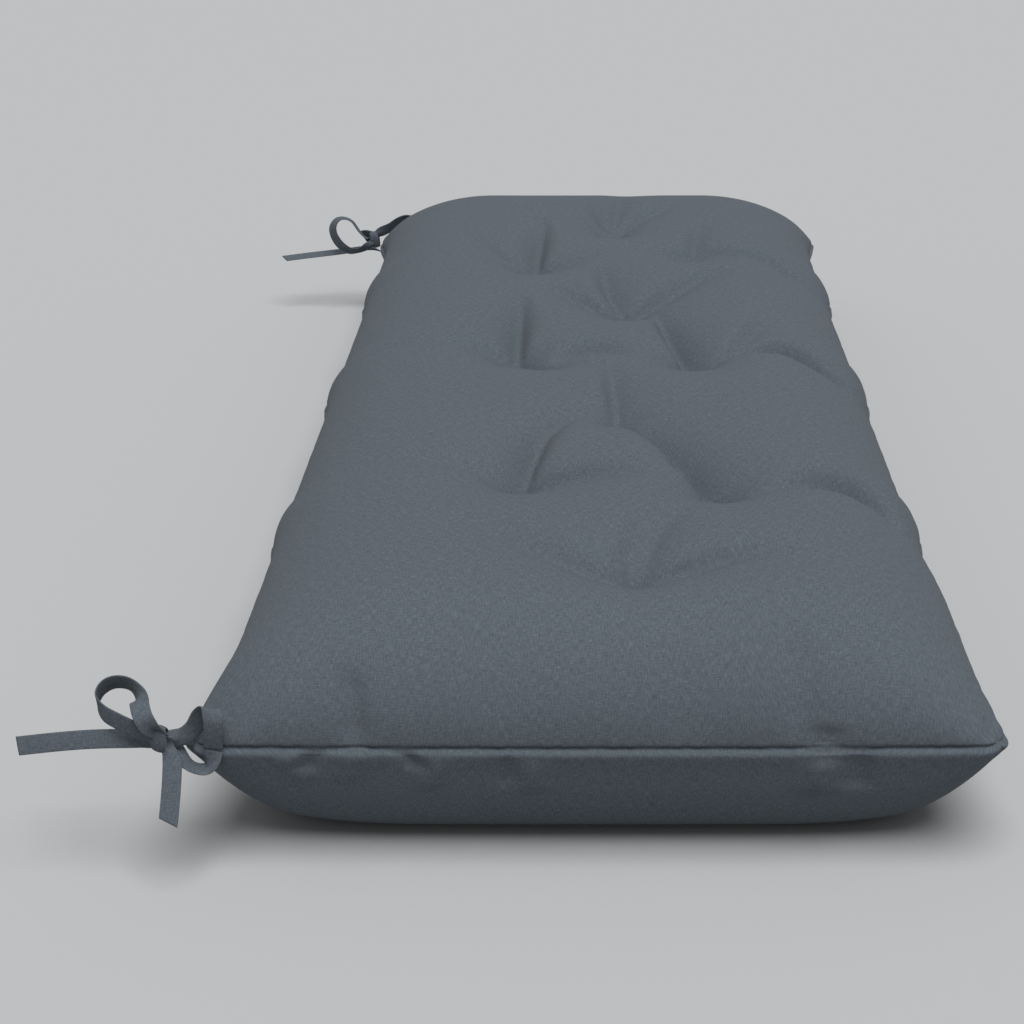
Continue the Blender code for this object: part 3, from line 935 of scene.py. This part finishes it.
NEAR_OVER = (
    Stop(-2.6, -14.2, 1.2, 0.0, 1.0, 0.0),
    Stop(-4.4, -15.2, 12.0, 0.0, 1.0, 0.0),
    Stop(-4.2, -15.8, 21.5, -0.05, 1.0, 0.05),
    Stop(0.5, -13.4, 26.8, -0.2, 0.9, 0.3),
    Stop(4.6, -7.2, 21.0, -0.2, 0.76, 0.62),
    Stop(5.2, -1.6, 11.4, -0.15, 0.72, 0.68),
    Stop(2.8, 5.0, 6.6, -0.1, 0.62, 0.76),
    Stop(0.0, 11.5, 6.8, 0.0, 0.35, 0.93),
    Stop(-2.4, 16.8, 8.2, 0.0, 0.2, 1.0),
)
NEAR_EAR = (
    Stop(-0.8, 18.7, 5.9, -0.1, -0.3, 0.93),
    Stop(-3.2, 25.4, 10.9, -0.1, -0.35, 0.92),
    Stop(-5.0, 33.0, 16.3, -0.1, -0.35, 0.93),
    Stop(-4.5, 42.5, 21.6, -0.1, -0.3, 0.95),
    Stop(0.5, 51.4, 24.4, -0.15, -0.2, 0.95),
    Stop(7.5, 56.6, 29.4, -0.3, 0.0, 0.95),
    Stop(14.0, 54.6, 34.0, -0.33, 0.0, 0.94),
    Stop(18.0, 47.9, 36.3, -0.36, 0.0, 0.92),
    Stop(17.5, 38.5, 35.3, -0.3, -0.05, 0.94),
    Stop(9.5, 31.0, 32.4, -0.1, -0.45, 0.85),
    Stop(0.0, 29.0, 30.4, 0.3, -0.9, 0.05),
    Stop(-9.5, 25.2, 27.0, 0.3, -0.87, 0.4),
    Stop(-10.0, 21.6, 20.0, 0.25, -0.85, 0.5),
    Stop(-5.5, 17.8, 13.6, 0.1, -0.8, 0.6),
)
NEAR_DROP = (
    Stop(-4.5, 14.0, 3.8, 0.0, 1.0, 0.1),
    Stop(-9.8, 10.2, -2.6, 0.0, 1.0, 0.1),
    Stop(-16.5, 9.4, -10.5, 0.0, 1.0, 0.0),
    Stop(-25.0, 9.6, -22.0, 0.0, 1.0, 0.0),
    Stop(-33.0, 10.3, -33.2, 0.0, 1.0, 0.0),
)
NEAR_BOW = Strap((*NEAR_OVER, *NEAR_EAR, *NEAR_DROP), gathered=(8, 9, 22, 23), slant=-2.6)
NEAR_UNDER = Strap((
    Stop(-2.6, -14.2, -0.2, 0.0, 1.0, 0.0),
    Stop(-4.4, -12.6, -7.0, 0.45, 0.9, 0.1),
    Stop(-5.0, -8.6, -11.6, 0.93, 0.35, 0.1),
    Stop(-4.2, -1.4, -11.2, 0.95, 0.05, 0.05),
    Stop(-2.2, 5.0, -7.2, 0.9, -0.2, 0.1),
    Stop(2.4, 11.0, -2.6, 0.8, -0.4, 0.4),
    Stop(6.8, 18.6, 1.2, 0.4, -0.25, 0.9),
    Stop(5.6, 27.9, 3.6, 0.35, -0.05, 0.92),
    Stop(1.8, 37.3, 5.8, 0.42, 0.0, 0.9),
    Stop(-1.5, 60.0, 7.1, 0.45, 0.0, 0.89),
    Stop(-2.0, 82.0, 5.5, 0.45, 0.0, 0.89),
    Stop(-2.0, 106.0, 2.6, 0.45, 0.0, 0.89),
), slant=0.6)
FAR_OVER = (
    Stop(-2.6, -33.0, 1.2, 0.0, -1.0, 0.0),
    Stop(-4.6, -33.5, 12.0, 0.0, -1.0, 0.05),
    Stop(-3.8, -32.6, 19.5, 0.15, -0.85, 0.4),
    Stop(-1.0, -29.0, 24.8, 0.3, -0.6, 0.7),
    Stop(2.5, -22.5, 26.4, 0.35, -0.2, 0.9),
    Stop(5.0, -15.0, 23.6, 0.4, 0.3, 0.85),
    Stop(5.0, -6.5, 17.6, 0.35, 0.5, 0.75),
    Stop(2.4, 4.5, 11.5, 0.1, 0.5, 0.85),
    Stop(0.0, 13.2, 5.4, 0.0, 0.3, 0.95),
)
FAR_EAR = (
    Stop(3.4, 15.4, -2.2, 0.2, -0.1, 1.0),
    Stop(5.8, 25.0, -7.2, 0.4, -0.2, 0.9),
    Stop(8.5, 34.0, -10.5, 0.6, -0.3, 0.6),
    Stop(9.5, 44.4, -9.8, 0.5, -0.55, 0.65),
    Stop(8.5, 54.4, -3.2, 0.4, -0.75, 0.5),
    Stop(6.5, 61.2, 7.0, 0.5, -0.8, 0.2),
    Stop(4.5, 62.6, 16.9, 0.65, -0.75, 0.0),
    Stop(2.5, 58.0, 24.7, 0.85, -0.35, -0.2),
    Stop(0.5, 50.0, 27.0, 0.97, 0.0, 0.0),
    Stop(-1.0, 40.4, 22.6, 0.97, 0.1, 0.2),
    Stop(-1.5, 31.6, 9.6, 0.97, 0.1, 0.26),
    Stop(-1.2, 23.8, 1.6, 0.8, 0.2, 0.6),
    Stop(-1.6, 16.6, 1.6, 0.3, 0.1, 0.95),
)
FAR_DROP = (
    Stop(-2.2, 14.6, 4.4, 0.6, -0.1, 0.75),
    Stop(-7.5, 21.0, 5.2, 0.4, 0.3, 0.8),
    Stop(-12.5, 26.0, 3.8, 0.15, 0.4, 0.9),
    Stop(-15.0, 29.0, 2.5, 0.15, 0.4, 0.9),
)
FAR_BOW = Strap((*FAR_OVER, *FAR_EAR, *FAR_DROP), gathered=(8, 9, 21, 22), slant=1.5)
FAR_UNDER = Strap((
    Stop(-2.6, -33.0, -0.2, 0.0, 1.0, 0.0),
    Stop(-4.8, -31.5, -9.0, 0.15, 1.0, 0.1),
    Stop(-5.8, -22.5, -17.5, 0.45, 0.8, 0.4),
    Stop(-6.5, -9.5, -20.5, 0.75, 0.3, 0.45),
    Stop(-8.0, 3.0, -17.8, 0.88, -0.1, 0.3),
    Stop(-8.5, 13.0, -14.0, 0.93, -0.1, 0.1),
    Stop(-8.6, 20.5, -12.0, 0.95, 0.0, -0.1),
    Stop(-7.6, 31.0, -12.2, 0.95, 0.0, -0.2),
    Stop(-5.5, 44.3, -13.8, 0.95, 0.0, -0.28),
    Stop(-3.0, 64.7, -15.8, 0.95, 0.0, -0.32),
    Stop(-1.0, 93.4, -18.7, 0.95, 0.0, -0.33),
    Stop(2.0, 122.6, -21.8, 0.95, 0.0, -0.33),
), slant=-3.0)


@dataclass
class Tie:
    """One tie: a tape sewn at its middle to a back corner and tied in a half bow.

    The upper half crosses the corner's top, makes the knot and one ear, and ends in a
    short tail. The lower half passes under the corner and lies out sideways.
    """

    end: End
    corner: Array                       # the corner at the seam
    bow: Strap                          # upper half, from the seam to its short end
    tail: Strap                         # lower half
    knot: tuple[float, float, float]    # its middle: inward, out and up, mm
    width: float = 0.0120
    thickness: float = 0.0012
    step: float = 0.0012                # between cross sections
    side_points: int = 9                # across one face of the tape
    hem: float = 0.0016                 # from the tape's edge to its line of stitches
    hem_dip: float = 0.25               # of the half thickness, along the stitches
    stitch_width: float = 0.08          # as a share of the half width
    edge_power: int = 10                # sharpness of the tape's rounded edges
    knot_size: tuple[float, float, float] = (0.0050, 0.005332, 0.0098)  # half its depth, width, height
    wrap_lean: float = 0.105            # how far the wrap leans sideways, for each metre up
    wrap_swell: float = 0.10            # how far its oval is out of round
    wrap_crown: float = 0.22            # how far its middle stands out past its edges, as a share

    def place(self, table: Array) -> Array:
        """Turn millimetres inward, out and up from the corner into places."""
        signs = np.array((-self.end.value, 1.0, 1.0))
        return table * MILLIMETRE * signs + self.corner

    def route(self, strap: Strap) -> tuple[Array, Array, Array, Array]:
        """A strap's middle line, width directions and face normals, a step apart.

        The line is a Catmull-Rom spline through the stops. The width is kept square to it.

        Args:
            strap: The run of tape.

        Returns:
            Places, unit width directions and unit normals, a row for each step, and the
            row at which each stop lies.
        """
        table = np.array(strap.stops)
        lengths = np.linalg.norm(np.diff(table[:, :3], axis=0), axis=1) * MILLIMETRE
        counts = [max(1, round(length / self.step)) for length in lengths]
        rows = spline(table, counts)
        line = self.place(rows[:, :3])
        facing = rows[:, 3:] * np.array((-self.end.value, 1.0, 1.0))
        tangent = np.gradient(line, axis=0)
        tangent /= np.linalg.norm(tangent, axis=1, keepdims=True)
        facing -= tangent * (facing * tangent).sum(1, keepdims=True)
        facing /= np.linalg.norm(facing, axis=1, keepdims=True)
        return line, facing, np.cross(tangent, facing), np.cumsum([0, *counts])

    def section(self) -> tuple[Array, Array]:
        """The tape's cross section as a closed loop of (across, off) from -1 to 1.

        Across runs over one face and back over the other. Off is the half thickness: full
        over the face, dipped by hem_dip along the stitches, and round at both edges.

        Returns:
            The two values for each point of the loop.
        """
        across = 0.985 * np.sin(np.linspace(-math.pi / 2, math.pi / 2, self.side_points))
        off = (1.0 - np.abs(across) ** self.edge_power) ** 0.5
        stitched = 1.0 - self.hem / (self.width / 2)
        off *= 1.0 - self.hem_dip * bell(np.abs(across) - stitched, self.stitch_width)
        return np.concatenate([across, across[::-1]]), np.concatenate([-off, off[::-1]])

    def tape(self, strap: Strap) -> tuple[Array, Array, Array]:
        """Build a strap as a closed flat tube with rounded edges.

        Where it is gathered to a share s of its width, it folds to a V whose depth is the
        half width times sqrt(1 - s^2), so that no cloth is lost.

        Args:
            strap: The run of tape.

        Returns:
            Points, faces and cloth coordinates of the face corners.
        """
        line, facing, normal, stop_rows = self.route(strap)
        run = np.concatenate([[0.0], np.cumsum(np.linalg.norm(np.diff(line, axis=0), axis=1))])
        held = np.zeros_like(run)
        for stop in strap.gathered:
            held = np.maximum(held, bell(run - run[stop_rows[stop]], strap.gather_run))
        share = 1.0 - (1.0 - strap.gather_share) * held
        fold = np.sqrt(np.maximum(1.0 - share**2, 0.0))
        across, off = self.section()
        half = self.width / 2
        sideways = share[:, None] * across * half
        away = off * self.thickness / 2 + fold[:, None] * half * (np.abs(across) - 0.5)
        tangent = np.cross(facing, normal)
        lean = strap.slant * MILLIMETRE * across * smooth_step(1.0 - (run[-1] - run) / self.width)[:, None]
        points = (line[:, None] + facing[:, None] * sideways[..., None] + normal[:, None] * away[..., None]
                  + tangent[:, None] * lean[..., None])
        uv = np.stack(np.broadcast_arrays(run[:, None], (across * half)[None, :]), -1)
        return self.tube(points, uv)

    @staticmethod
    def tube(points: Array, uv: Array) -> tuple[Array, Array, Array]:
        """Faces of a closed tube from its rings, with both ends covered.

        Args:
            points: Rings of places, a row for each ring.
            uv: Cloth coordinates of the same points.

        Returns:
            Points, faces and cloth coordinates of the face corners.
        """
        rings, around = points.shape[:2]
        ids = np.arange(rings * around).reshape(rings, around)
        wrapped = np.concatenate([ids, ids[:, :1]], 1)
        faces = [grid_faces(wrapped)]
        lower, upper = np.arange(around // 2), np.arange(around - 1, around // 2 - 1, -1)
        for ring, down in ((ids[0], False), (ids[-1], True)):
            faces.append(grid_faces(np.stack([ring[lower], ring[upper]], 0), not down))
        faces = np.vstack(faces)
        return points.reshape(-1, 3), faces, uv.reshape(-1, 2)[faces.ravel()]

    def knot_wrap(self) -> tuple[Array, Array, Array]:
        """The knot: the tape wound once round the gathered tapes.

        The tape's section is carried round an upright oval that leans, and it stands out
        furthest along its middle: by wrap_crown * (1 - across^2) of the oval's radius.

        Returns:
            Points, faces and cloth coordinates of the face corners.
        """
        depth, width, height = self.knot_size
        centre = self.place(np.array(self.knot))
        turn = np.linspace(0.0, 2 * math.pi, 49)[:-1]
        across, off = self.section()
        swell = 1.0 + self.wrap_swell * np.cos(2 * turn + 0.6)
        radial = (1.0 - self.wrap_crown * across**2 + off * 0.3 * self.thickness / depth)[None, :]
        x = depth * radial * np.cos(turn)[:, None]
        z = height * radial * (np.sin(turn) * swell)[:, None]
        y = width * across[None, :] + self.wrap_lean * z
        ring = centre + np.stack(np.broadcast_arrays(-self.end.value * x, y, z), -1)
        uv = np.stack(np.broadcast_arrays((turn * height)[:, None], (across * self.width / 2)[None, :]), -1)
        ids = np.arange(ring[..., 0].size).reshape(ring.shape[:2])
        faces = grid_faces(np.pad(ids, ((0, 1), (0, 1)), "wrap"), self.end is End.NEAR)
        return ring.reshape(-1, 3), faces, uv.reshape(-1, 2)[faces.ravel()]

    @staticmethod
    def piece(name: str, body: tuple[Array, Array, Array], canvas: bpy.types.Material) -> bpy.types.Object:
        """Make an object of a body.

        Args:
            name: Its name.
            body: Its points, faces and cloth coordinates.
            canvas: Its cloth.

        Returns:
            The object.
        """
        thing = mesh_object(name, *body)
        thing.data.materials.append(canvas)
        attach(thing, "root")
        return thing

    def declare(self, node: str, strap: Strap) -> None:
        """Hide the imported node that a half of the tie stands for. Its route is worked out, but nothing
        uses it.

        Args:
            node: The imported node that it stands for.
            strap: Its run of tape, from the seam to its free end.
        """
        path = self.route(strap)[0]
        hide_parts(node)

    def build(self, canvas: bpy.types.Material) -> None:
        """Make the tie's two halves and its knot.

        Args:
            canvas: Its cloth.
        """
        label = self.end.name.lower()
        bow = self.piece(f"{label}_tie_bow", self.tape(self.bow), canvas)
        knot = self.piece(f"{label}_tie_knot", self.knot_wrap(), canvas)
        tail = self.piece(f"{label}_tie_tail", self.tape(self.tail), canvas)
        self.declare(f"tie_{label}_bow", self.bow)
        self.declare(f"tie_{label}_tail", self.tail)


# --------------------------------------------------------------------------- studio


@dataclass
class Studio:
    """Pale floor, soft dome light with wide light from overhead, and the camera."""

    near_end: float                     # the cushion's end, -X
    seam_height: float = SEAM_HEIGHT
    camera_back: float = 1.0344         # camera in front of the near end
    camera_up: float = 0.597            # above the seam
    camera_pitch: float = 23.0          # degrees down
    lens: float = 67.68
    shift: float = -0.083
    dome: float = 0.37
    overhead: float = 3.2               # W/m2
    overhead_spread: float = 46.0       # degrees, so that its shadows are soft
    overhead_lean: Point = (7.0, -14.0) # degrees towards the front edge and the near end
    floor_size: float = 30.0

    def build(self) -> None:
        """Make the camera, floor and lights."""
        scene = bpy.context.scene
        camera_data = bpy.data.cameras.new("camera")
        camera_data.lens = self.lens
        camera_data.shift_x = self.shift
        camera = bpy.data.objects.new("camera", camera_data)
        camera.location = (self.near_end - self.camera_back, 0.0, self.seam_height + self.camera_up)
        camera.rotation_euler = (math.pi / 2 - math.radians(self.camera_pitch), 0.0, -math.pi / 2)
        scene.collection.objects.link(camera)
        scene.camera = camera
        scene.view_settings.view_transform = "Standard"

        half = self.floor_size / 2
        corners = np.array([(-half, -half, 0), (half, -half, 0), (half, half, 0), (-half, half, 0)])
        floor = mesh_object("floor", corners, np.array([[0, 1, 2, 3]]))
        floor.data.materials.append(PaleBoard().make())

        world = bpy.data.worlds.new("dome")
        world.use_nodes = True
        background = world.node_tree.nodes["Background"]
        background.inputs["Color"].default_value = (1.0, 1.0, 1.0, 1.0)
        background.inputs["Strength"].default_value = self.dome
        scene.world = world
        data = bpy.data.lights.new("overhead", "SUN")
        data.energy = self.overhead
        data.angle = math.radians(self.overhead_spread)
        lamp = bpy.data.objects.new("overhead", data)
        lamp.rotation_euler = (*(math.radians(lean) for lean in self.overhead_lean), 0.0)
        scene.collection.objects.link(lamp)


def main() -> None:
    """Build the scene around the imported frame."""
    logging.basicConfig(level=logging.INFO, format="%(name)s: %(message)s")
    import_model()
    low, high = (np.array(corner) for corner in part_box("cushion"))
    Studio(near_end=float(low[0])).build()

    tape = MelangeCanvas("woven_melange_tape", slub_length=4.0).make()
    for end, straps, knot in (
        (End.NEAR, (NEAR_BOW, NEAR_UNDER), (-2.5, 18.0, 8.0)),
        (End.FAR, (FAR_BOW, FAR_UNDER), (0.0, 14.0, 1.0)),
    ):
        corner = np.array((end.value * high[0], high[1], SEAM_HEIGHT))
        Tie(end, corner, *straps, knot=knot).build(tape)

    canvas = MelangeCanvas("woven_melange_canvas").make()
    cushion = Cushion(low, high).build(canvas)
    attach(cushion, "root")
    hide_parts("cushion")
    LOG.info("cushion: %d faces", len(cushion.data.polygons))


if __name__ == "__main__":
    main()
